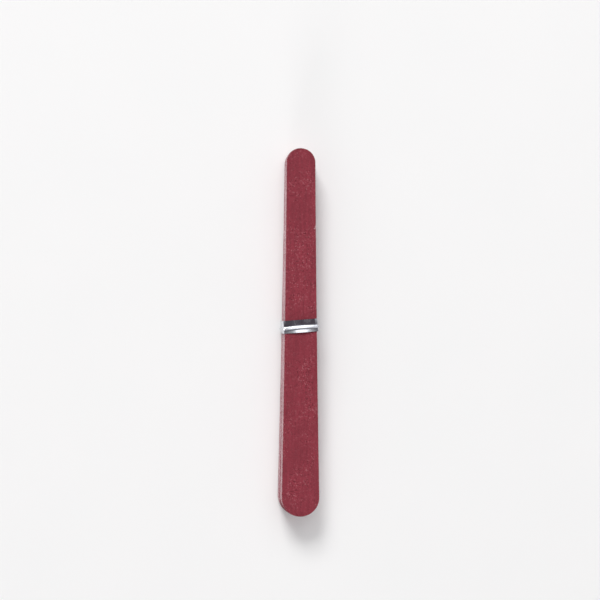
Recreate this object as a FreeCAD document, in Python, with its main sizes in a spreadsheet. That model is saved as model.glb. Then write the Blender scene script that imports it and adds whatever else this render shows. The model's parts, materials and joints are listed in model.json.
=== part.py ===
import FreeCAD, Part
import math
import os
import Sketcher

# A tied bundle of emery boards. Each board is a tapered cardboard core with round ends, coarse abrasive
# paper glued on top and fine abrasive paper glued below. A twist tie, a wire inside a metallised ribbon, goes
# round the bundle, and its two ends are twisted together and pressed flat against the back, where the bundle
# lies on them.
# Millimetres. +Z is up, +Y points to the narrow ends, and the origin is under the middle of the bundle.

SIZES = (
    ("board_count", 10, "boards in the bundle"),
    ("board_length", 115.0, "tip to tip"),
    ("wide_end_width", 11.8, "twice the radius of the wide end"),
    ("narrow_end_width", 9.0, "twice the radius of the narrow end"),
    ("side_radius", 9000.0, "long hollow curve of each side"),
    ("core_thickness", 0.5, "cardboard core"),
    ("coarse_paper_thickness", 0.16, "abrasive paper on top"),
    ("fine_paper_thickness", 0.14, "abrasive paper below"),
    ("board_gap", 0.04, "between one board and the next"),
    ("split_angle", 0.35, "turn of the upper half of the bundle against the lower half, degrees"),
    ("side_shuffle", 0.04, "most that a board stands out sideways"),
    ("end_shuffle", 0.15, "most that a board stands out lengthways"),
    ("shuffle_angle", 137.5, "phase from one board's place to the next, degrees"),
    ("tie_width", 4.0, "width of the ribbon"),
    ("ribbon_thickness", 0.12, "two films, one on each side of the wire"),
    ("wire_diameter", 0.38, "soft iron wire"),
    ("wire_cover", 0.05, "film drawn over the wire"),
    ("wire_fit", 0.01, "between the wire and the film"),
    ("wire_shift", 0.55, "wire from the middle of the ribbon, towards the wide end"),
    ("tie_clearance", 0.05, "between the ribbon and the bundle"),
    ("tie_offset", 2.0, "middle of the tie from mid-length, towards the narrow end"),
    ("tie_tilt", 4.5, "turn of the tie on the bundle, degrees"),
    ("twist_length", 13.0, "twisted ends, from the root to the tip"),
    ("twist_width", 3.0, "across a lobe of the twist"),
    ("twist_waist", 1.9, "across the twist between two lobes"),
    ("twist_thickness", 1.0, "twist as pressed flat"),
    ("twist_lobes", 5, "half turns of the twist"),
    ("twist_root", 0.5, "start of the twist above the middle of the tie"),
    ("tail_gap", 0.4, "between the two wires in the twist"),
    ("tail_bend", 0.6, "radius of each wire where it turns into the twist"),
    ("tail_end", 0.5, "bare wire past the end of the twist"),
)

doc = FreeCAD.newDocument("emery_board_bundle")
sheet = doc.addObject("Spreadsheet::Sheet", "sizes")
for row, (alias, value, note) in enumerate(SIZES, start=1):
    sheet.set(f"A{row}", note)
    sheet.set(f"B{row}", str(value))
    sheet.setAlias(f"B{row}", alias)
doc.recompute()

# Values worked out from the sizes, as expressions on the sheet's cells
BOARD_THICKNESS = "(sizes.core_thickness + sizes.coarse_paper_thickness + sizes.fine_paper_thickness)"
BOARD_PITCH = f"({BOARD_THICKNESS} + sizes.board_gap)"
STACK_HEIGHT = f"(sizes.board_count * {BOARD_PITCH} - sizes.board_gap)"
STACK_BOTTOM = "(sizes.twist_thickness + sizes.tie_clearance)"
WIDE_RADIUS = "(sizes.wide_end_width / 2)"
NARROW_RADIUS = "(sizes.narrow_end_width / 2)"
WIDE_CENTRE = f"(sizes.board_length / 2 - {WIDE_RADIUS})"
NARROW_CENTRE = f"(sizes.board_length / 2 - {NARROW_RADIUS})"

# Half the width of a board at the tie's edge towards the wide end: an even taper less the hollow of the side
SIDE_SPAN = f"({WIDE_CENTRE} + {NARROW_CENTRE})"
TIE_EDGE = "(sizes.tie_offset - sizes.tie_width / 2)"
FROM_WIDE = f"({TIE_EDGE} + {WIDE_CENTRE})"
FROM_NARROW = f"({NARROW_CENTRE} - {TIE_EDGE})"
EVEN_TAPER = f"(({WIDE_RADIUS} * {FROM_NARROW} + {NARROW_RADIUS} * {FROM_WIDE}) / {SIDE_SPAN})"
SIDE_HOLLOW = f"({FROM_WIDE} * {FROM_NARROW} / (2 * sizes.side_radius))"
BOARD_HALF_WIDTH = f"({EVEN_TAPER} - {SIDE_HOLLOW} + sizes.side_shuffle)"

# The inside of the tie, measured from its middle, with room for its turn against the boards turned furthest
TIE_TURN = "((sizes.tie_tilt + sizes.split_angle / 2) * 1 deg)"
TURNED_EDGE = f"(sizes.tie_width / 2 * sin({TIE_TURN}))"
TIE_HALF_WIDTH = f"(({BOARD_HALF_WIDTH} + sizes.tie_clearance + {TURNED_EDGE}) / cos({TIE_TURN}))"
TIE_HALF_HEIGHT = f"({STACK_HEIGHT} / 2 + sizes.tie_clearance)"
TIE_BEND = "(2 * sizes.tie_clearance)"
WIRE_RADIUS = "(sizes.wire_diameter / 2)"


def value_of(expression):
    return float(sheet.evalExpression(expression))


def origin_plane(body, role):
    return next(plane for plane in body.Origin.OriginFeatures if plane.Role == role)


def new_sketch(body, name, role):
    sketch = body.newObject("Sketcher::SketchObject", name)
    sketch.AttachmentSupport = [(origin_plane(body, role), "")]
    sketch.MapMode = "FlatFace"
    return sketch


def bound_constraint(sketch, name, expression, kind, *where):
    """Adds one sized constraint and binds it to an expression."""
    index = sketch.addConstraint(Sketcher.Constraint(kind, *where, value_of(expression)))
    sketch.renameConstraint(index, name)
    sketch.setExpression(f"Constraints.{name}", expression)


def new_pad(body, name, sketch, length):
    pad = body.newObject("PartDesign::Pad", name)
    pad.Profile = sketch
    pad.setExpression("Length", length)
    return pad


def arc_about(centre, radius, start, end):
    circle = Part.Circle(centre, FreeCAD.Vector(0, 0, 1), radius)
    return Part.ArcOfCircle(circle, start, end)


# Numbers of the points of a sketch line or arc, and of the sketch's own axes, which start at its origin
START, END, CENTRE = range(1, 4)
LEVEL_AXIS, UPRIGHT_AXIS = range(-1, -3, -1)
ORIGIN = (LEVEL_AXIS, START)


def draw_board_outline(sketch):
    """Two round ends joined by long hollow arcs that meet them without a corner."""
    wide, narrow = value_of(WIDE_RADIUS), value_of(NARROW_RADIUS)
    side = value_of("sizes.side_radius")
    wide_centre = FreeCAD.Vector(0, -value_of(WIDE_CENTRE))
    narrow_centre = FreeCAD.Vector(0, value_of(NARROW_CENTRE))
    span = value_of(SIDE_SPAN)
    rise = (span**2 + (side + wide) ** 2 - (side + narrow) ** 2) / (2 * span)
    reach = math.sqrt((side + wide) ** 2 - rise**2)
    wide_lean = math.atan2(rise, reach)
    narrow_lean = math.atan2(rise - span, reach)
    right = wide_centre + FreeCAD.Vector(reach, rise)
    left = wide_centre + FreeCAD.Vector(-reach, rise)
    wide_end = sketch.addGeometry(arc_about(wide_centre, wide, math.pi - wide_lean, 2 * math.pi + wide_lean))
    right_side = sketch.addGeometry(arc_about(right, side, math.pi + narrow_lean, math.pi + wide_lean))
    narrow_end = sketch.addGeometry(arc_about(narrow_centre, narrow, narrow_lean, math.pi - narrow_lean))
    left_side = sketch.addGeometry(arc_about(left, side, -wide_lean, -narrow_lean))
    sketch.addConstraint(Sketcher.Constraint("Tangent", wide_end, END, right_side, END))
    sketch.addConstraint(Sketcher.Constraint("Tangent", right_side, START, narrow_end, START))
    sketch.addConstraint(Sketcher.Constraint("Tangent", narrow_end, END, left_side, END))
    sketch.addConstraint(Sketcher.Constraint("Tangent", left_side, START, wide_end, START))
    sketch.addConstraint(Sketcher.Constraint("PointOnObject", wide_end, CENTRE, UPRIGHT_AXIS))
    sketch.addConstraint(Sketcher.Constraint("PointOnObject", narrow_end, CENTRE, UPRIGHT_AXIS))
    sketch.addConstraint(Sketcher.Constraint("Equal", right_side, left_side))
    bound_constraint(sketch, "wide_radius", WIDE_RADIUS, "Radius", wide_end)
    bound_constraint(sketch, "narrow_radius", NARROW_RADIUS, "Radius", narrow_end)
    bound_constraint(sketch, "side_radius", "sizes.side_radius", "Radius", right_side)
    bound_constraint(sketch, "wide_centre", WIDE_CENTRE, "DistanceY", wide_end, CENTRE, *ORIGIN)
    bound_constraint(sketch, "narrow_centre", NARROW_CENTRE, "DistanceY", *ORIGIN, narrow_end, CENTRE)


def make_layer(label, index, thickness, height):
    """One layer of a board, at its height in the bundle and with its board's small shift and turn.

    The shifts are counted from the top board, whose ends lie midway among the others' ends. The upper half of
    the bundle turns one way and the lower half the other way."""
    body = doc.addObject("PartDesign::Body", label)
    outline = new_sketch(body, "outline", "XY_Plane")
    draw_board_outline(outline)
    new_pad(body, "layer", outline, thickness)
    phase = f"((sizes.board_count - 1 - {index}) * sizes.shuffle_angle * 1 deg)"
    body.setExpression("Placement.Base.x", f"sizes.side_shuffle * cos({phase})")
    body.setExpression("Placement.Base.y", f"sizes.end_shuffle * sin({phase})")
    body.setExpression("Placement.Base.z", f"{STACK_BOTTOM} + {index} * {BOARD_PITCH} + {height}")
    half_turn = "sizes.split_angle / 2"
    turn = f"{index} < sizes.board_count / 2 ? -{half_turn} : {half_turn}"
    body.setExpression("Placement.Rotation.Angle", turn)
    return body


def make_board(index):
    """The three layers of one board, counted from the lowest."""
    name = f"board_{index + 1:02d}"
    core_height = "sizes.fine_paper_thickness"
    coarse_height = f"({core_height} + sizes.core_thickness)"
    return [
        make_layer(f"{name}_fine_paper", index, "sizes.fine_paper_thickness", "0"),
        make_layer(f"{name}_core", index, "sizes.core_thickness", core_height),
        make_layer(f"{name}_coarse_paper", index, "sizes.coarse_paper_thickness", coarse_height),
    ]


def draw_rounded_rectangle(sketch, name, half_width, half_height, radius):
    """A rectangle about the origin with round corners, each size bound to its expression."""
    wide, high, corner = value_of(half_width), value_of(half_height), value_of(radius)
    lines, arcs = [], []
    for quarter in range(4):
        turn = FreeCAD.Rotation(FreeCAD.Vector(0, 0, 1), 90 * quarter)
        across, along = (wide, high) if quarter % 2 == 0 else (high, wide)
        first = turn.multVec(FreeCAD.Vector(across, corner - along))
        last = turn.multVec(FreeCAD.Vector(across, along - corner))
        centre = turn.multVec(FreeCAD.Vector(across - corner, along - corner))
        start = math.radians(90 * quarter)
        lines.append(sketch.addGeometry(Part.LineSegment(first, last)))
        arcs.append(sketch.addGeometry(arc_about(centre, corner, start, start + math.pi / 2)))
    for quarter in range(4):
        direction = "Vertical" if quarter % 2 == 0 else "Horizontal"
        next_line = lines[(quarter + 1) % 4]
        sketch.addConstraint(Sketcher.Constraint(direction, lines[quarter]))
        sketch.addConstraint(Sketcher.Constraint("Tangent", lines[quarter], END, arcs[quarter], START))
        sketch.addConstraint(Sketcher.Constraint("Tangent", arcs[quarter], END, next_line, START))
    for arc in arcs[1:]:
        sketch.addConstraint(Sketcher.Constraint("Equal", arcs[0], arc))
    bound_constraint(sketch, f"{name}_corner", radius, "Radius", arcs[0])
    bound_constraint(sketch, f"{name}_right", half_width, "DistanceX", *ORIGIN, lines[0], START)
    bound_constraint(sketch, f"{name}_top", half_height, "DistanceY", *ORIGIN, lines[1], START)
    bound_constraint(sketch, f"{name}_left", half_width, "DistanceX", lines[2], START, *ORIGIN)
    bound_constraint(sketch, f"{name}_bottom", half_height, "DistanceY", lines[3], START, *ORIGIN)


LOBE_LENGTH = "(sizes.twist_length / sizes.twist_lobes)"
LOBE_SWELL = "((sizes.twist_width - sizes.twist_waist) / 2)"
LOBE_RADIUS = f"({LOBE_LENGTH}^2 / (8 * {LOBE_SWELL}) + {LOBE_SWELL} / 2)"


def draw_lobe(sketch):
    """One half turn of the twist seen from above: straight across at both waists, bowed at both sides."""
    waist = value_of("sizes.twist_waist") / 2
    width = value_of("sizes.twist_width") / 2
    top = value_of("sizes.twist_root")
    bottom = top - value_of(LOBE_LENGTH)
    middle = (top + bottom) / 2
    top_left, top_right = FreeCAD.Vector(-waist, top), FreeCAD.Vector(waist, top)
    bottom_left, bottom_right = FreeCAD.Vector(-waist, bottom), FreeCAD.Vector(waist, bottom)
    upper = sketch.addGeometry(Part.LineSegment(top_right, top_left))
    left = sketch.addGeometry(Part.Arc(top_left, FreeCAD.Vector(-width, middle), bottom_left))
    lower = sketch.addGeometry(Part.LineSegment(bottom_left, bottom_right))
    right = sketch.addGeometry(Part.Arc(bottom_right, FreeCAD.Vector(width, middle), top_right))
    sketch.addConstraint(Sketcher.Constraint("Coincident", upper, END, left, START))
    sketch.addConstraint(Sketcher.Constraint("Coincident", left, END, lower, START))
    sketch.addConstraint(Sketcher.Constraint("Coincident", lower, END, right, START))
    sketch.addConstraint(Sketcher.Constraint("Coincident", right, END, upper, START))
    sketch.addConstraint(Sketcher.Constraint("Symmetric", upper, START, upper, END, UPRIGHT_AXIS))
    sketch.addConstraint(Sketcher.Constraint("Symmetric", lower, START, lower, END, UPRIGHT_AXIS))
    sketch.addConstraint(Sketcher.Constraint("Equal", left, right))
    bound_constraint(sketch, "waist", "sizes.twist_waist", "DistanceX", upper, END, upper, START)
    bound_constraint(sketch, "lower_waist", "sizes.twist_waist", "DistanceX", lower, START, lower, END)
    bound_constraint(sketch, "bow", LOBE_RADIUS, "Radius", left)
    bound_constraint(sketch, "root", "sizes.twist_root", "DistanceY", *ORIGIN, upper, START)
    bound_constraint(sketch, "length", LOBE_LENGTH, "DistanceY", lower, START, left, START)


def make_ribbon_blank():
    """The flat ribbon round the bundle and the pressed twist of its two ends, before the wire goes in."""
    body = doc.addObject("PartDesign::Body", "ribbon_blank")
    loop = new_sketch(body, "loop", "XZ_Plane")
    draw_rounded_rectangle(loop, "inner", TIE_HALF_WIDTH, TIE_HALF_HEIGHT, TIE_BEND)
    draw_rounded_rectangle(
        loop,
        "outer",
        f"{TIE_HALF_WIDTH} + sizes.ribbon_thickness",
        f"{TIE_HALF_HEIGHT} + sizes.ribbon_thickness",
        f"{TIE_BEND} + sizes.ribbon_thickness",
    )
    band = new_pad(body, "band", loop, "sizes.tie_width")
    band.Midplane = True
    lobe_outline = new_sketch(body, "lobe_outline", "XY_Plane")
    lobe_outline.setExpression("AttachmentOffset.Base.z", f"-({TIE_HALF_HEIGHT} + sizes.twist_thickness)")
    draw_lobe(lobe_outline)
    lobe = new_pad(body, "lobe", lobe_outline, "sizes.twist_thickness")
    doc.recompute()
    twist = body.newObject("PartDesign::LinearPattern", "twist")
    twist.Originals = [lobe]
    twist.Direction = (lobe_outline, ["V_Axis"])
    twist.Reversed = True
    twist.setExpression("Length", f"{LOBE_LENGTH} * (sizes.twist_lobes - 1)")
    twist.setExpression("Occurrences", "sizes.twist_lobes")
    body.Tip = twist
    return body


def wire_path(past_twist):
    """The run of the wire: up from one tail, round the bundle and down the other tail.

    The middle of a quarter bend lies inset times its radius from the bend's two outer tangents."""
    offset = value_of(f"sizes.ribbon_thickness / 2 + {WIRE_RADIUS}")
    wide = value_of(TIE_HALF_WIDTH) + offset
    high = value_of(TIE_HALF_HEIGHT) + offset
    corner = value_of(TIE_BEND) + offset
    tail = value_of("sizes.tail_gap + sizes.wire_diameter") / 2
    bend = value_of("sizes.tail_bend")
    line = -value_of("sizes.wire_shift")
    tip = -value_of(f"sizes.twist_length - sizes.twist_root + {past_twist}")
    inset = 1 - math.cos(math.pi / 4)

    def half(side):
        """Straight runs and bends of one half, from the tail to the middle of the front."""
        points = (
            (tail, tip, -high),
            (tail, line - bend, -high),
            (tail + inset * bend, line - inset * bend, -high),
            (tail + bend, line, -high),
            (wide - corner, line, -high),
            (wide - inset * corner, line, inset * corner - high),
            (wide, line, corner - high),
            (wide, line, high - corner),
            (wide - inset * corner, line, high - inset * corner),
            (wide - corner, line, high),
            (0, line, high),
        )
        spots = [FreeCAD.Vector(side * x, y, z) for x, y, z in points]
        return [
            Part.LineSegment(spots[0], spots[1]),
            Part.Arc(spots[1], spots[2], spots[3]),
            Part.LineSegment(spots[3], spots[4]),
            Part.Arc(spots[4], spots[5], spots[6]),
            Part.LineSegment(spots[6], spots[7]),
            Part.Arc(spots[7], spots[8], spots[9]),
            Part.LineSegment(spots[9], spots[10]),
        ]

    edges = [curve.toShape() for curve in half(-1)] + [curve.toShape() for curve in reversed(half(1))]
    return Part.Wire(Part.sortEdges(edges)[0])


def make_round_run(label, radius, past_twist):
    """A round section carried along the run of the wire."""
    path = wire_path(past_twist)
    start = path.OrderedVertexes[0].Point
    section = Part.Wire(Part.makeCircle(value_of(radius), start, FreeCAD.Vector(0, 1, 0)))
    run = doc.addObject("Part::Feature", label)
    run.Shape = path.makePipeShell([section], True, False)
    return run


def set_tie_place(piece):
    """Sets a piece of the tie square on the bundle's height, off mid-length and turned by the tie's tilt."""
    piece.setExpression("Placement.Base.y", "sizes.tie_offset")
    piece.setExpression("Placement.Base.z", f"{STACK_BOTTOM} + {STACK_HEIGHT} / 2")
    piece.setExpression("Placement.Rotation.Angle", "sizes.tie_tilt")


def make_tie_ribbon():
    """The ribbon with the ridge that the wire raises along it, hollow where the wire runs.

    The ridge ends inside the twist, and the hollow runs out of its end with the bare wire."""
    raised = doc.addObject("Part::Fuse", "raised_ribbon")
    raised.Base = make_ribbon_blank()
    raised.Tool = make_round_run("ridge", f"{WIRE_RADIUS} + sizes.wire_cover", "-sizes.tail_end")
    ribbon = doc.addObject("Part::Cut", "tie_ribbon")
    ribbon.Base = raised
    ribbon.Tool = make_round_run("channel", f"{WIRE_RADIUS} + sizes.wire_fit", "sizes.tail_end")
    set_tie_place(ribbon)
    return ribbon


def make_tie_wire():
    wire = make_round_run("tie_wire", WIRE_RADIUS, "sizes.tail_end")
    set_tie_place(wire)
    return wire


def check(pieces):
    """Stops if any object failed, or if a piece is not one valid solid."""
    failed = [thing.Label for thing in doc.Objects if {"Invalid", "Error"} & set(thing.State)]
    if failed:
        raise RuntimeError(f"failed objects: {failed}")
    for piece in pieces:
        if piece.Shape.isNull() or not piece.Shape.isValid() or len(piece.Shape.Solids) != 1:
            raise RuntimeError(f"{piece.Label} is not one valid solid")


pieces = [make_tie_ribbon(), make_tie_wire()]
for index in range(int(value_of("sizes.board_count"))):
    pieces += make_board(index)
doc.recompute()
check(pieces)
os.makedirs("parts", exist_ok=True)
for piece in pieces:
    piece.Shape.exportStep(os.path.join("parts", f"{piece.Label}.step"))
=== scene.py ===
import json
import math
import random

import bmesh
import bpy
from mathutils import Matrix, Vector, noise

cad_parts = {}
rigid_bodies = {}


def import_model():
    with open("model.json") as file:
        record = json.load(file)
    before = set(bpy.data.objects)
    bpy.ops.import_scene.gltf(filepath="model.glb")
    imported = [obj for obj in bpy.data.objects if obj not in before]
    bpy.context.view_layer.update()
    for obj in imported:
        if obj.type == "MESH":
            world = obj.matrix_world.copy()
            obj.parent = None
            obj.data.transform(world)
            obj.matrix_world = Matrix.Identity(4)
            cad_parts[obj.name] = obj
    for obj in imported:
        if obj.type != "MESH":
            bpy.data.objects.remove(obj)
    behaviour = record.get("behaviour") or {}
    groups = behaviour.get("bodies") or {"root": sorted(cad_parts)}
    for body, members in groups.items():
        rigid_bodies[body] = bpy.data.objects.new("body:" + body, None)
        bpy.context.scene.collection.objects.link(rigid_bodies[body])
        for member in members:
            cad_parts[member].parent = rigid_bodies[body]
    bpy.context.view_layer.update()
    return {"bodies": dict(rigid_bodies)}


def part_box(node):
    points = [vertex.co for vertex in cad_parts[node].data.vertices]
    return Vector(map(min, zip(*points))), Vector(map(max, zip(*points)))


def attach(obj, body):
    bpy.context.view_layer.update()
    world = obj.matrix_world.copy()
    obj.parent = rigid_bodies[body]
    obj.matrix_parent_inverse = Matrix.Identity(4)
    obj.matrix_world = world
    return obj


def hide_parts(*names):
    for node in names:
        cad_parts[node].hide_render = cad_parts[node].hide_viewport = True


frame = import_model()

# Board cores: ten tapered strips of pale pulp board, half a millimetre thick, die-cut to one outline with
# round ends and stacked loosely, the upper half turned a little against the lower half. The die bruises the
# rim, so the cut edge swells a little, shows torn fibres in layers and holds red grinding dust.
MM = 0.001
WIDE_RADIUS = 5.9 * MM
NARROW_RADIUS = 4.5 * MM
BOARD_LENGTH = 115 * MM
SIDE_RADIUS = 9000 * MM
SPLIT = math.radians(0.35)
SIDE_SPAN = BOARD_LENGTH - WIDE_RADIUS - NARROW_RADIUS
SIDE_HOLLOW = SIDE_SPAN**2 / (8 * SIDE_RADIUS)
WIDE_QUARTER = WIDE_RADIUS * math.pi / 2
EDGE_RUN = WIDE_QUARTER + SIDE_SPAN + NARROW_RADIUS * math.pi / 2
ROW_STEP = 0.25 * MM
ROWS = round(EDGE_RUN / ROW_STEP)
MEETING = 0.0001 * MM
EDGE_RINGS = 3
EDGE_SWELL = 0.03 * MM
EDGE_TEAR = 0.035 * MM
TEAR_LENGTH = 0.5 * MM
TEAR_HEIGHT = 0.17 * MM
boards = [body for body in frame["bodies"] if body.startswith("board")]


def edge_station(run):
    """How far along from the wide end's centre, and how wide each half is, at a run from the wide tip."""
    if run < WIDE_QUARTER:
        turn = run / WIDE_RADIUS
        return -WIDE_RADIUS * math.cos(turn), WIDE_RADIUS * math.sin(turn)
    along = run - WIDE_QUARTER
    if along < SIDE_SPAN:
        share = along / SIDE_SPAN
        taper = WIDE_RADIUS + (NARROW_RADIUS - WIDE_RADIUS) * share
        return along, taper - SIDE_HOLLOW * 4 * share * (1 - share)
    turn = (along - SIDE_SPAN) / NARROW_RADIUS
    return SIDE_SPAN + NARROW_RADIUS * math.sin(turn), NARROW_RADIUS * math.cos(turn)


def layer_place(node, index):
    """The place of a layer's wide end, with the turn of its half of the stack, and the layer's thickness."""
    low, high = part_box(node)
    turn = -SPLIT / 2 if index < len(boards) / 2 else SPLIT / 2
    corner = Matrix.Translation(((low.x + high.x) / 2, low.y + WIDE_RADIUS, low.z))
    return corner @ Matrix.Rotation(turn, 4, "Z"), high.z - low.z


def shaped_grid(columns, rows, place):
    """A grid whose corner in each column and row goes where place says, with corners that meet made one."""
    bm = bmesh.new()
    bmesh.ops.create_grid(bm, x_segments=columns, y_segments=rows, size=1)
    for vert in bm.verts:
        column = round((vert.co.x + 1) / 2 * columns)
        row = round((vert.co.y + 1) / 2 * rows)
        vert.co = place(column, row)
    bmesh.ops.remove_doubles(bm, verts=bm.verts, dist=MEETING)
    return bm


def add_piece(bm, name, material, body, node, smooth=False):
    """Makes the mesh a piece that rides on its body and stands for its solid."""
    bmesh.ops.recalc_face_normals(bm, faces=bm.faces)
    mesh = bpy.data.meshes.new(name)
    for face in bm.faces:
        face.smooth = smooth
    bm.to_mesh(mesh)
    bm.free()
    mesh.materials.append(material)
    piece = bpy.data.objects.new(name, mesh)
    bpy.context.scene.collection.objects.link(piece)
    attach(piece, body)
    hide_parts(node)


def core_corner(column, row):
    along, half = edge_station(EDGE_RUN * row / ROWS)
    return half * (2 * column - 1), along, 0


def core_mesh(thickness, seed):
    """A flat strip raised to its thickness, with rings of corners round the cut edge that swell and tear."""
    bm = shaped_grid(1, ROWS, core_corner)
    raised = bmesh.ops.extrude_face_region(bm, geom=bm.faces[:])["geom"]
    top = [item for item in raised if isinstance(item, bmesh.types.BMVert)]
    bmesh.ops.translate(bm, verts=top, vec=(0, 0, thickness))
    uprights = [edge for edge in bm.edges if abs(edge.verts[0].co.z - edge.verts[1].co.z) > thickness / 2]
    bmesh.ops.subdivide_edges(bm, edges=uprights, cuts=EDGE_RINGS, use_grid_fill=True)
    bm.normal_update()
    for vert in bm.verts:
        away = Vector((vert.normal.x, vert.normal.y, 0)).normalized()
        swell = EDGE_SWELL * math.sin(math.pi * vert.co.z / thickness)
        spot = Vector((vert.co.x / TEAR_LENGTH, vert.co.y / TEAR_LENGTH, vert.co.z / TEAR_HEIGHT + seed))
        vert.co += away * (swell + EDGE_TEAR * (noise.noise(spot) - 1))
    return bm


def linear(colour):
    """An sRGB hex colour as linear red, green, blue and alpha."""
    parts = [int(colour[start : start + 2], 16) / 255 for start in (1, 3, 5)]
    return [part / 12.92 if part <= 0.04045 else ((part + 0.055) / 1.055) ** 2.4 for part in parts] + [1]


def set_inputs(tree, node, inputs):
    """Gives each input of a node its value, or a link from another node's output."""
    for name, value in inputs.items():
        if isinstance(value, bpy.types.NodeSocket):
            tree.links.new(value, node.inputs[name])
        else:
            node.inputs[name].default_value = value


def add_node(tree, kind, inputs, **settings):
    """Adds a node with its settings and its inputs."""
    node = tree.nodes.new(kind)
    for name, value in settings.items():
        setattr(node, name, value)
    set_inputs(tree, node, inputs)
    return node


# Places of a mix node's colour inputs and output, after those for numbers and vectors
FIRST_COLOUR, SECOND_COLOUR, MIXED_COLOUR = 6, 7, 2


def mix_colours(tree, share, first, second):
    """The first colour with a share of the second mixed in."""
    inputs = {"Factor": share, FIRST_COLOUR: first, SECOND_COLOUR: second}
    return add_node(tree, "ShaderNodeMix", inputs, data_type="RGBA").outputs[MIXED_COLOUR]


def new_material(name):
    """A material, its node tree, its shader, and the place of each point in its piece's own space."""
    material = bpy.data.materials.new(name)
    material.use_nodes = True
    tree = material.node_tree
    place = add_node(tree, "ShaderNodeTexCoord", {}).outputs["Object"]
    return material, tree, tree.nodes["Principled BSDF"], place


def pulp_board():
    """Pale pulp board in pressed layers: matt, with darker fibres, and red dust and grains on its edge."""
    fibre_length, fibre_height = 0.8 * MM, 0.07 * MM
    dust_size, grain_size = 1.6 * MM, 0.13 * MM
    material, tree, shader, place = new_material("die_cut_pulp_board")
    flat = add_node(tree, "ShaderNodeMapping", {
        "Vector": place,
        "Scale": (1 / fibre_length, 1 / fibre_length, 1 / fibre_height),
    })
    fibres = add_node(tree, "ShaderNodeTexNoise", {"Vector": flat.outputs[0], "Scale": 1, "Detail": 4})
    dust = add_node(tree, "ShaderNodeTexNoise", {"Vector": place, "Scale": 1 / dust_size, "Detail": 5})
    grains = add_node(tree, "ShaderNodeTexVoronoi", {"Vector": place, "Scale": 1 / grain_size})
    chance = add_node(tree, "ShaderNodeSeparateColor", {"Color": grains.outputs["Color"]})
    fibre_share = add_node(tree, "ShaderNodeMapRange", {
        "Value": fibres.outputs["Fac"], "From Min": 0.42, "From Max": 0.68, "To Max": 0.75,
    })
    dust_share = add_node(tree, "ShaderNodeMapRange", {
        "Value": dust.outputs["Fac"], "From Min": 0.44, "From Max": 0.75, "To Max": 0.4,
    })
    grain_share = add_node(tree, "ShaderNodeMapRange", {
        "Value": chance.outputs["Red"], "From Min": 0.9, "From Max": 1, "To Max": 0.7,
    })
    pulp = mix_colours(tree, fibre_share.outputs[0], linear("#F2E8EC"), linear("#D3BFC6"))
    dusted = mix_colours(tree, dust_share.outputs[0], pulp, linear("#B0707A"))
    gritty = mix_colours(tree, grain_share.outputs[0], dusted, linear("#8A3440"))
    rough = add_node(tree, "ShaderNodeBump", {
        "Strength": 0.6, "Distance": 0.03 * MM, "Height": fibres.outputs["Fac"],
    })
    set_inputs(tree, shader, {"Base Color": gritty, "Normal": rough.outputs[0], "Roughness": 0.9})
    return material


core_material = pulp_board()
for index, board in enumerate(boards):
    place, thickness = layer_place(f"{board}_core", index)
    core = core_mesh(thickness, index)
    bmesh.ops.transform(core, matrix=place, verts=core.verts)
    add_piece(core, f"{board}_pulp_strip", core_material, board, f"{board}_core")

# Coarse papers: dark red abrasive paper glued on the upper face of each core and cut with it.
# Grains of about a tenth of a millimetre stand in a dyed resin bond. Those at the rim are knocked off, and
# here and there a nick bares the pale backing paper, as on the right of the top board.
COLUMNS = 46
COARSE_RELIEF = 0.07 * MM
RIM_WIDTH = 0.3 * MM
NICKS = 2
NICK_RADIUS = 0.9 * MM
NICK_DEPTH = 0.1 * MM
NICK_WEAR = 3
TOP_NICK_RUN = WIDE_QUARTER + 84.3 * MM


def edge_gap(across, along):
    """How far a spot on a board lies from the board's edge."""
    if along < 0:
        return WIDE_RADIUS - math.hypot(across, along)
    if along > SIDE_SPAN:
        return NARROW_RADIUS - math.hypot(across, along - SIDE_SPAN)
    return edge_station(WIDE_QUARTER + along)[1] - abs(across)


def rim_spot(side, run):
    along, half = edge_station(run)
    return Vector((side * half, along))


def abrasive_mesh(thickness, relief, grit_up, seed, nicks=()):
    """A sheet with grains on one face, whose rim is turned over its edge and closed by a flat back."""
    draw = random.Random(seed)
    face_level, inward = (thickness, -1) if grit_up else (0, 1)
    nicks = nicks or [rim_spot(draw.choice((-1, 1)), draw.uniform(0, EDGE_RUN)) for _ in range(NICKS)]

    def grain_corner(column, row):
        along, half = edge_station(EDGE_RUN * row / ROWS)
        return half * (2 * column / COLUMNS - 1), along, face_level

    bm = shaped_grid(COLUMNS, ROWS, grain_corner)
    rim = bm.verts.layers.float.new("rim")
    for vert in bm.verts:
        wear = max(0, 1 - edge_gap(vert.co.x, vert.co.y) / RIM_WIDTH)
        knocked = wear / 2
        nicked = max(max(0, 1 - (vert.co.xy - nick).length / NICK_RADIUS) for nick in nicks)
        vert.co.z += inward * max(relief * (knocked + (1 - knocked) * draw.random()), NICK_DEPTH * nicked)
        vert[rim] = max(wear, NICK_WEAR * nicked)
    border = [edge for edge in bm.edges if edge.is_boundary]
    turned = bmesh.ops.extrude_edge_only(bm, edges=border)["geom"]
    for item in turned:
        if isinstance(item, bmesh.types.BMVert):
            item.co.z = thickness - face_level
            item[rim] = 1
    back = [edge for edge in bm.edges if edge.is_boundary]
    bmesh.ops.contextual_create(bm, geom=back)
    return bm


def rolled_bond(tree, place):
    """Soft patches, and streaks along the board, as the bond was rolled on."""
    patch_size, streak_length, streak_width = 7 * MM, 9 * MM, 0.6 * MM
    patches = add_node(tree, "ShaderNodeTexNoise", {"Vector": place, "Scale": 1 / patch_size, "Detail": 4})
    rolled = add_node(tree, "ShaderNodeMapping", {
        "Vector": place,
        "Scale": (1 / streak_width, 1 / streak_length, 1 / streak_width),
    })
    streaks = add_node(tree, "ShaderNodeTexNoise", {"Vector": rolled.outputs[0], "Scale": 1, "Detail": 2})
    return patches.outputs["Fac"], streaks.outputs["Fac"]


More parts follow.
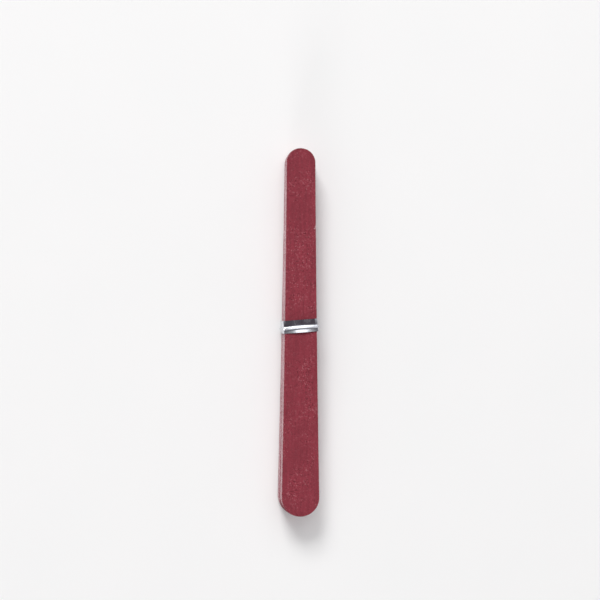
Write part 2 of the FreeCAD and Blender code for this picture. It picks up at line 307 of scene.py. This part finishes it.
def clump_colour(tree, chance, patches, bond, pale_grain, dark_grain):
    """The bond's colour with paler and darker clumps of grains, which crowd in the paler patches."""
    crowding = add_node(tree, "ShaderNodeMapRange", {
        "Value": patches, "From Min": 0.4, "From Max": 0.6, "To Min": 0.35, "To Max": 1.45,
    })
    most_pale = add_node(tree, "ShaderNodeMath", {0: crowding.outputs[0], 1: 0.3}, operation="MULTIPLY")
    most_dark = add_node(tree, "ShaderNodeMath", {0: crowding.outputs[0], 1: 0.56}, operation="MULTIPLY")
    pale_share = add_node(tree, "ShaderNodeMapRange", {
        "Value": chance.outputs["Red"], "From Min": 0.8, "From Max": 1, "To Max": most_pale.outputs[0],
    })
    dark_share = add_node(tree, "ShaderNodeMapRange", {
        "Value": chance.outputs["Green"], "From Min": 0.72, "From Max": 1, "To Max": most_dark.outputs[0],
    })
    paler = mix_colours(tree, pale_share.outputs[0], linear(bond), linear(pale_grain))
    return mix_colours(tree, dark_share.outputs[0], paler, linear(dark_grain))


def rub_rim(tree, chance, colour, worn):
    """The colour with the worn backing paper showing where the rim and the nicks have lost their grains."""
    rim = add_node(tree, "ShaderNodeAttribute", {}, attribute_name="rim")
    rub = add_node(tree, "ShaderNodeMath", {
        0: rim.outputs["Fac"], 1: chance.outputs["Blue"],
    }, operation="MULTIPLY")
    rub_share = add_node(tree, "ShaderNodeMapRange", {
        "Value": rub.outputs[0], "From Min": 0.45, "From Max": 1.2, "To Max": 0.85,
    })
    return mix_colours(tree, rub_share.outputs[0], colour, linear(worn))


def abrasive_paper(name, bond, pale_grain, dark_grain, worn, clump_size):
    """Abrasive grit in a coloured bond: matt, clumped and patchy, with a few clumps that glint.

    The clumps are drawn coarser than the real grit, which is too fine to show from a step away."""
    grain_size = clump_size / 3
    material, tree, shader, place = new_material(name)
    grains = add_node(tree, "ShaderNodeTexVoronoi", {"Vector": place, "Scale": 1 / grain_size})
    grain_tone = add_node(tree, "ShaderNodeSeparateColor", {"Color": grains.outputs["Color"]})
    clumps = add_node(tree, "ShaderNodeTexVoronoi", {
        "Vector": grains.outputs["Position"], "Scale": 1 / clump_size,
    })
    chance = add_node(tree, "ShaderNodeSeparateColor", {"Color": clumps.outputs["Color"]})
    patches, streaks = rolled_bond(tree, place)
    clumped = clump_colour(tree, chance, patches, bond, pale_grain, dark_grain)
    rubbed = rub_rim(tree, chance, clumped, worn)
    rolled_on = add_node(tree, "ShaderNodeMath", {0: patches, 1: streaks})
    uneven = add_node(tree, "ShaderNodeMath", {
        0: grain_tone.outputs["Red"], 1: 0.6, 2: rolled_on.outputs[0],
    }, operation="MULTIPLY_ADD")
    shade = add_node(tree, "ShaderNodeMapRange", {
        "Value": uneven.outputs[0], "From Min": 0.9, "From Max": 1.7, "To Min": 0.81, "To Max": 1.19,
    })
    patched = add_node(tree, "ShaderNodeHueSaturation", {"Color": rubbed, "Value": shade.outputs[0]})
    gloss = add_node(tree, "ShaderNodeMapRange", {
        "Value": chance.outputs["Blue"], "From Min": 0.9, "From Max": 1, "To Min": 0.9, "To Max": 0.45,
    })
    grit = add_node(tree, "ShaderNodeBump", {
        "Strength": 0.5, "Distance": grain_size / 5, "Height": grains.outputs["Distance"],
    }, invert=True)
    set_inputs(tree, shader, {
        "Base Color": patched.outputs[0],
        "Roughness": gloss.outputs[0],
        "Normal": grit.outputs[0],
        "Specular IOR Level": 0.3,
    })
    return material


coarse_material = abrasive_paper(
    "coarse_emery_paper",
    bond="#8A3440",
    pale_grain="#C07C82",
    dark_grain="#5A1822",
    worn="#D9B4B6",
    clump_size=0.33 * MM,
)
for index, board in enumerate(boards):
    node = f"{board}_coarse_paper"
    place, thickness = layer_place(node, index)
    seen_nicks = [rim_spot(1, TOP_NICK_RUN)] if board == boards[-1] else []
    sheet = abrasive_mesh(thickness, COARSE_RELIEF, grit_up=True, seed=index, nicks=seen_nicks)
    bmesh.ops.transform(sheet, matrix=place, verts=sheet.verts)
    add_piece(sheet, f"{board}_coarse_grit", coarse_material, board, node)

# Fine papers: dusty rose abrasive paper of a finer grit, glued on the lower face of each core.
# It is made as the coarse paper is, with smaller grains, so its face is smoother and more even.
FINE_RELIEF = 0.04 * MM
fine_material = abrasive_paper(
    "fine_emery_paper",
    bond="#BE8C90",
    pale_grain="#DFBEC0",
    dark_grain="#925E64",
    worn="#DCC8CA",
    clump_size=0.24 * MM,
)
for index, board in enumerate(boards):
    node = f"{board}_fine_paper"
    place, thickness = layer_place(node, index)
    sheet = abrasive_mesh(thickness, FINE_RELIEF, grit_up=False, seed=len(boards) + index)
    bmesh.ops.transform(sheet, matrix=place, verts=sheet.verts)
    add_piece(sheet, f"{board}_fine_grit", fine_material, board, node)

# Tie: a strip of silver metallised film folded round a soft iron wire and sealed along both edges.
# It is laid round the bundle by hand, so its edges stand up a little at the front. Its gathered ends are
# twisted together and pressed flat against the back.
TIE_WIDTH = 4 * MM
TIE_TILT = math.radians(4.5)
TIE_OFFSET = 2 * MM
TIE_CLEARANCE = 0.05 * MM
FILM = 0.12 * MM
WIRE_RADIUS = 0.19 * MM
WIRE_SHIFT = 0.55 * MM
WIRE_RISE = FILM / 2 + WIRE_RADIUS
BEND = 0.1 * MM
BEND_STEPS = 8
RUN_STEP = 0.2 * MM
ROOT_REACH = 1.6 * MM
ROOT_BEND = 0.85 * MM
ROOT_STEPS = 10
STRAND_REACH = ROOT_REACH - ROOT_BEND
STRAND_DEPTH = 0.25 * MM
TWIST_LOBES = 5
TWIST_END = 12.5 * MM
TWIST_STEPS = 84
GATHER = 0.62
stack_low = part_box(f"{boards[0]}_fine_paper")[0].z
stack_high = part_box(f"{boards[-1]}_coarse_paper")[1].z
HALF_HIGH = (stack_high - stack_low) / 2 + TIE_CLEARANCE
WIRE_REACH = (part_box("tie_wire")[1].x - WIRE_SHIFT * math.sin(TIE_TILT)) / math.cos(TIE_TILT)
HALF_WIDE = WIRE_REACH - WIRE_RISE - WIRE_RADIUS
tie_centre = Matrix.Translation((0, TIE_OFFSET, (stack_low + stack_high) / 2))
tie_place = tie_centre @ Matrix.Rotation(TIE_TILT, 4, "Z")


def outward(angle):
    return Vector((math.cos(angle), 0, math.sin(angle)))


def loop_run():
    """Places round the bundle on the film's inner face, each with its way out, from root to root."""
    run = []
    start = Vector((-ROOT_REACH, 0, -HALF_HIGH))
    for quarter, (side, level) in enumerate(((-1, -1), (-1, 1), (1, 1), (1, -1))):
        facing = -math.pi / 2 * (quarter + 1)
        centre = Vector((side * (HALF_WIDE - BEND), 0, level * (HALF_HIGH - BEND)))
        end = centre + BEND * outward(facing)
        steps = round((end - start).length / RUN_STEP)
        run += [(start.lerp(end, step / steps), outward(facing), 0) for step in range(steps)]
        for step in range(BEND_STEPS):
            way = outward(facing - math.pi / 2 * step / BEND_STEPS)
            run.append((centre + BEND * way, way, 0))
        start = centre + BEND * outward(facing - math.pi / 2)
    end = Vector((ROOT_REACH, 0, -HALF_HIGH))
    steps = round((end - start).length / RUN_STEP)
    run += [(start.lerp(end, step / steps), outward(-math.pi / 2), 0) for step in range(steps)]
    return run


def tail_run(side):
    """Places along one end of the tie, from its root through the turn into the twist to the tip."""
    run = []
    down = outward(-math.pi / 2)
    for step in range(ROOT_STEPS):
        share = step / ROOT_STEPS
        turn = share * math.pi / 2
        across = ROOT_REACH - ROOT_BEND * math.sin(turn)
        along = -ROOT_BEND * (1 - math.cos(turn))
        drop = STRAND_DEPTH * share * share
        run.append((Vector((side * across, along, -HALF_HIGH - drop)), down, share))
    for step in range(TWIST_STEPS + 1):
        share = step / TWIST_STEPS
        phase = math.pi * TWIST_LOBES * share
        along = -ROOT_BEND - share * (TWIST_END - ROOT_BEND)
        depth = STRAND_DEPTH * (1 + side * math.sin(phase))
        run.append((Vector((side * STRAND_REACH * math.cos(phase), along, -HALF_HIGH - depth)), down, 1))
    return run


tie_run = tail_run(-1)[::-1] + loop_run() + tail_run(1)
lengths = [0]
for (here, *_), (there, *_) in zip(tie_run, tie_run[1:]):
    lengths.append(lengths[-1] + (there - here).length)
FRONT_MIDDLE = lengths[-1] / 2


def cross_ways(run, row):
    """The ways along the width of the film and out of its face at one place of the run."""
    before, after = run[max(row - 1, 0)][0], run[min(row + 1, len(run) - 1)][0]
    ahead = (after - before).normalized()
    across = run[row][1].cross(ahead).normalized()
    return across, ahead.cross(across)


# Places across the film are measured from the wire, which lies nearer to the film's lower edge. A lift is how
# far an edge stands up in mid-front, and a curl is the power by which the film rises on its way to that edge.
UPPER_REACH = TIE_WIDTH / 2 + WIRE_SHIFT
LOWER_REACH = TIE_WIDTH / 2 - WIRE_SHIFT
ACROSS_STEPS = 12
CROWDING = 1.6
RIDGE = 0.37 * MM
RIDGE_SPREAD = 0.27 * MM
TENT = 0.7
UPPER_LIFT = 0.22 * MM
UPPER_CURL = 1.3
LOWER_LIFT = 0.48 * MM
LOWER_CURL = 0.65
END_HOLD = 0.15
RIPPLE = 0.02 * MM
RIPPLE_LENGTH = 1.5 * MM
RIPPLE_WIDTH = 1.2 * MM
FOLD = 0.18 * MM
FOLD_PITCH = 1.3 * MM
SHARPEST = math.radians(50)


def spots_to(reach):
    """Places from the wire to an edge of the film, crowded near the wire, where the film curves most."""
    return [reach * (step / ACROSS_STEPS) ** CROWDING for step in range(1, ACROSS_STEPS + 1)]


film_spots = [-spot for spot in reversed(spots_to(LOWER_REACH))] + [0] + spots_to(UPPER_REACH)


def from_bend(run_length):
    """The share of the way from the nearer bend to the middle of the front, and none elsewhere."""
    return max(0, 1 - abs(run_length - FRONT_MIDDLE) / HALF_WIDE)


def film_ridge(spot, run_length):
    """How far the wire raises the film: steep below it, and above it a tent that narrows to the bends."""
    bow = math.sin(math.pi / 2 * from_bend(run_length))
    spread = RIDGE_SPREAD * (1 + TENT * bow) if spot > 0 else RIDGE_SPREAD
    return RIDGE * math.exp(-((spot / spread) ** 2))


def film_lift(spot, run_length, gathered):
    """How far the film stands off what it lies on: its edges curl up and ripple, and its gathered ends fold.

    The upper edge stands up all along the front, and the lower edge in a bow."""
    middle = from_bend(run_length)
    if spot > 0:
        share = spot / UPPER_REACH
        curl = UPPER_LIFT * min(1, middle / END_HOLD) * share**UPPER_CURL
    else:
        share = -spot / LOWER_REACH
        curl = LOWER_LIFT * math.sin(math.pi / 2 * middle) ** 2 * share**LOWER_CURL
    ripple = RIPPLE * (1 + noise.noise(Vector((run_length / RIPPLE_LENGTH, spot / RIPPLE_WIDTH, 0))))
    fold = FOLD * (1 - math.cos(2 * math.pi * spot / FOLD_PITCH)) / 2
    return (curl + ripple * share**2) * (1 - gathered) + fold * min(1, 2 * share) * gathered


def along_tie(spot, run, row):
    """A place across the film at one row of a run, on the film's inner face, and the way out there."""
    middle, _, gathered = run[row]
    across, out = cross_ways(run, row)
    return middle + across * (spot - WIRE_SHIFT) * (1 - GATHER * gathered), out


def close_run(bm):
    """Closes both ends of a run, keeps its sharp edges sharp, and sets it in place on the bundle."""
    bmesh.ops.holes_fill(bm, edges=[edge for edge in bm.edges if edge.is_boundary], sides=0)
    bmesh.ops.transform(bm, matrix=tie_place, verts=bm.verts)
    for edge in bm.edges:
        edge.smooth = edge.calc_face_angle(0) < SHARPEST


def film_mesh():
    outline = [(spot, True) for spot in film_spots] + [(spot, False) for spot in reversed(film_spots)]

    def film_corner(column, row):
        spot, outer = outline[column % len(outline)]
        foot, out = along_tie(spot, tie_run, row)
        height = film_lift(spot, lengths[row], tie_run[row][2])
        if outer:
            height += FILM + film_ridge(spot, lengths[row])
        return foot + out * height

    bm = shaped_grid(len(outline), len(tie_run) - 1, film_corner)
    close_run(bm)
    return bm


def metallised_film():
    """Aluminium-coated plastic film: bright mirror with a slight haze, broken by fine creases."""
    crease_size, haze_size = 0.7 * MM, 2.5 * MM
    material, tree, shader, place = new_material("metallised_film")
    creases = add_node(tree, "ShaderNodeTexNoise", {"Vector": place, "Scale": 1 / crease_size, "Detail": 3})
    haze = add_node(tree, "ShaderNodeTexNoise", {"Vector": place, "Scale": 1 / haze_size, "Detail": 5})
    gloss = add_node(tree, "ShaderNodeMapRange", {
        "Value": haze.outputs["Fac"], "From Min": 0.3, "From Max": 0.7, "To Min": 0.14, "To Max": 0.3,
    })
    tone = mix_colours(tree, haze.outputs["Fac"], linear("#E0E2E8"), linear("#CDD0D8"))
    crinkle = add_node(tree, "ShaderNodeBump", {
        "Strength": 0.25, "Distance": 0.03 * MM, "Height": creases.outputs["Fac"],
    })
    set_inputs(tree, shader, {
        "Base Color": tone,
        "Roughness": gloss.outputs[0],
        "Normal": crinkle.outputs[0],
        "Metallic": 1,
    })
    return material


add_piece(film_mesh(), "tie_film", metallised_film(), "tie", "tie_ribbon", smooth=True)

# Tie wire: soft iron wire with a dull zinc coat, drawn round and laid into the film before it is sealed.
# It is inside the film all round, and bare for half a millimetre at both cut ends.
WIRE_SIDES = 12
BARE_END = 0.5 * MM


def wire_run():
    """The film's run, with one more place past each tip for the bare end."""
    (first, way, gathered), (last, *_) = tie_run[0], tie_run[-1]
    ends = [Vector((tip.x, tip.y - BARE_END, tip.z)) for tip in (first, last)]
    return [(ends[0], way, gathered)] + tie_run + [(ends[1], way, gathered)]


def wire_mesh():
    run = wire_run()

    def wire_corner(column, row):
        turn = 2 * math.pi * column / WIRE_SIDES
        foot, out = along_tie(0, run, row)
        across, _ = cross_ways(run, row)
        round_wire = across * math.cos(turn) + out * math.sin(turn)
        return foot + out * WIRE_RISE + round_wire * WIRE_RADIUS

    bm = shaped_grid(WIRE_SIDES, len(run) - 1, wire_corner)
    close_run(bm)
    return bm


def zinc_coated_iron():
    """Drawn iron wire with a dull zinc coat: grey metal with cloudy spots, rougher where it has dulled."""
    cloud_size = 0.5 * MM
    material, tree, shader, place = new_material("zinc_coated_iron")
    clouds = add_node(tree, "ShaderNodeTexNoise", {"Vector": place, "Scale": 1 / cloud_size, "Detail": 6})
    gloss = add_node(tree, "ShaderNodeMapRange", {
        "Value": clouds.outputs["Fac"], "To Min": 0.3, "To Max": 0.6,
    })
    tone = mix_colours(tree, clouds.outputs["Fac"], linear("#9EA2A6"), linear("#77797C"))
    set_inputs(tree, shader, {"Base Color": tone, "Roughness": gloss.outputs[0], "Metallic": 1})
    return material


add_piece(wire_mesh(), "tie_drawn_wire", zinc_coated_iron(), "tie", "tie_wire", smooth=True)

# Studio: a wide pale matt floor, two soft lamps high up on the side of the narrow ends, a weak one low on
# the side of the wide ends, and pale light from all round. That light is dimmer overhead, towards the wide
# ends, so that the silver film has something dark to mirror. The lamps' places and sizes are in metres.
FLOOR_SIDE = 3.0
FLOOR_SPLITS = 4
MOTTLE_SIZE = 30 * MM


def pale_floor():
    """Painted board: matt and pale, with the faintest mottle."""
    material, tree, shader, place = new_material("pale_matt_floor")
    mottle = add_node(tree, "ShaderNodeTexNoise", {"Vector": place, "Scale": 1 / MOTTLE_SIZE, "Detail": 3})
    tone = mix_colours(tree, mottle.outputs["Fac"], linear("#FBFAF9"), linear("#F8F8F7"))
    set_inputs(tree, shader, {"Base Color": tone, "Roughness": 0.8})
    return material


floor_bm = bmesh.new()
bmesh.ops.create_grid(floor_bm, x_segments=FLOOR_SPLITS, y_segments=FLOOR_SPLITS, size=FLOOR_SIDE / 2)
floor_mesh = bpy.data.meshes.new("floor")
floor_bm.to_mesh(floor_mesh)
floor_bm.free()
floor_mesh.materials.append(pale_floor())
floor = bpy.data.objects.new("floor", floor_mesh)
bpy.context.scene.collection.objects.link(floor)


def add_lamp(name, spot, size, power):
    """A square soft lamp that faces the middle of the bundle and isn't seen itself."""
    data = bpy.data.lights.new(name, "AREA")
    data.size = size
    data.energy = power
    lamp = bpy.data.objects.new(name, data)
    lamp.visible_camera = False
    lamp.location = spot
    lamp.rotation_mode = "QUATERNION"
    lamp.rotation_quaternion = Vector(spot).to_track_quat("Z", "Y")
    bpy.context.scene.collection.objects.link(lamp)


add_lamp("key_lamp", spot=(-1.05, 3.2, 2.6), size=1.5, power=110)
add_lamp("top_lamp", spot=(0.3, 2.4, 2.85), size=2.85, power=30)
add_lamp("fill_lamp", spot=(-0.5, -3.1, 0.5), size=1.0, power=36)

world = bpy.data.worlds.new("studio")
world.use_nodes = True
bpy.context.scene.world = world
sky = world.node_tree
sky_place = add_node(sky, "ShaderNodeTexCoord", {}).outputs["Generated"]
dim_way = Vector((0, -0.3, 1)).normalized()
nearness = add_node(sky, "ShaderNodeVectorMath", {0: sky_place, 1: dim_way}, operation="DOT_PRODUCT")
dimness = add_node(sky, "ShaderNodeMapRange", {
    "Value": nearness.outputs["Value"], "From Min": 0.82, "From Max": 0.97,
})
sky_tone = mix_colours(sky, dimness.outputs[0], linear("#E8E8EA"), linear("#5C525A"))
set_inputs(sky, sky.nodes["Background"], {"Color": sky_tone, "Strength": 0.62})

# Camera: above the bundle and a little to its left, so that the left flank shows, and rolled so that the top
# board stands as upright as in the picture. The middle of its face is put at its measured place, in pixels.
PICTURE_SIDE = 600
BOARD_PIXELS = 368.5
FACE_ACROSS, FACE_DOWN = 300.9, 332.5
LEAN = math.radians(7)
ROLL = math.radians(0.27)
LENS, SENSOR = 100, 36
PIXEL = BOARD_LENGTH / BOARD_PIXELS
face_low, face_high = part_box(f"{boards[-1]}_coarse_paper")
face_middle = Vector((0, (face_low.y + face_high.y) / 2, face_high.z))
aim = face_middle + Vector((PICTURE_SIDE / 2 - FACE_ACROSS, FACE_DOWN - PICTURE_SIDE / 2, 0)) * PIXEL
camera_data = bpy.data.cameras.new("camera")
camera_data.lens = LENS
camera_data.sensor_width = SENSOR
camera = bpy.data.objects.new("camera", camera_data)
reach = PIXEL * PICTURE_SIDE * LENS / SENSOR
camera.matrix_world = (
    Matrix.Translation(aim)
    @ Matrix.Rotation(-LEAN, 4, "Y")
    @ Matrix.Rotation(ROLL, 4, "Z")
    @ Matrix.Translation((0, 0, reach))
)
bpy.context.scene.collection.objects.link(camera)
bpy.context.scene.camera = camera
bpy.context.scene.view_settings.view_transform = "Standard"
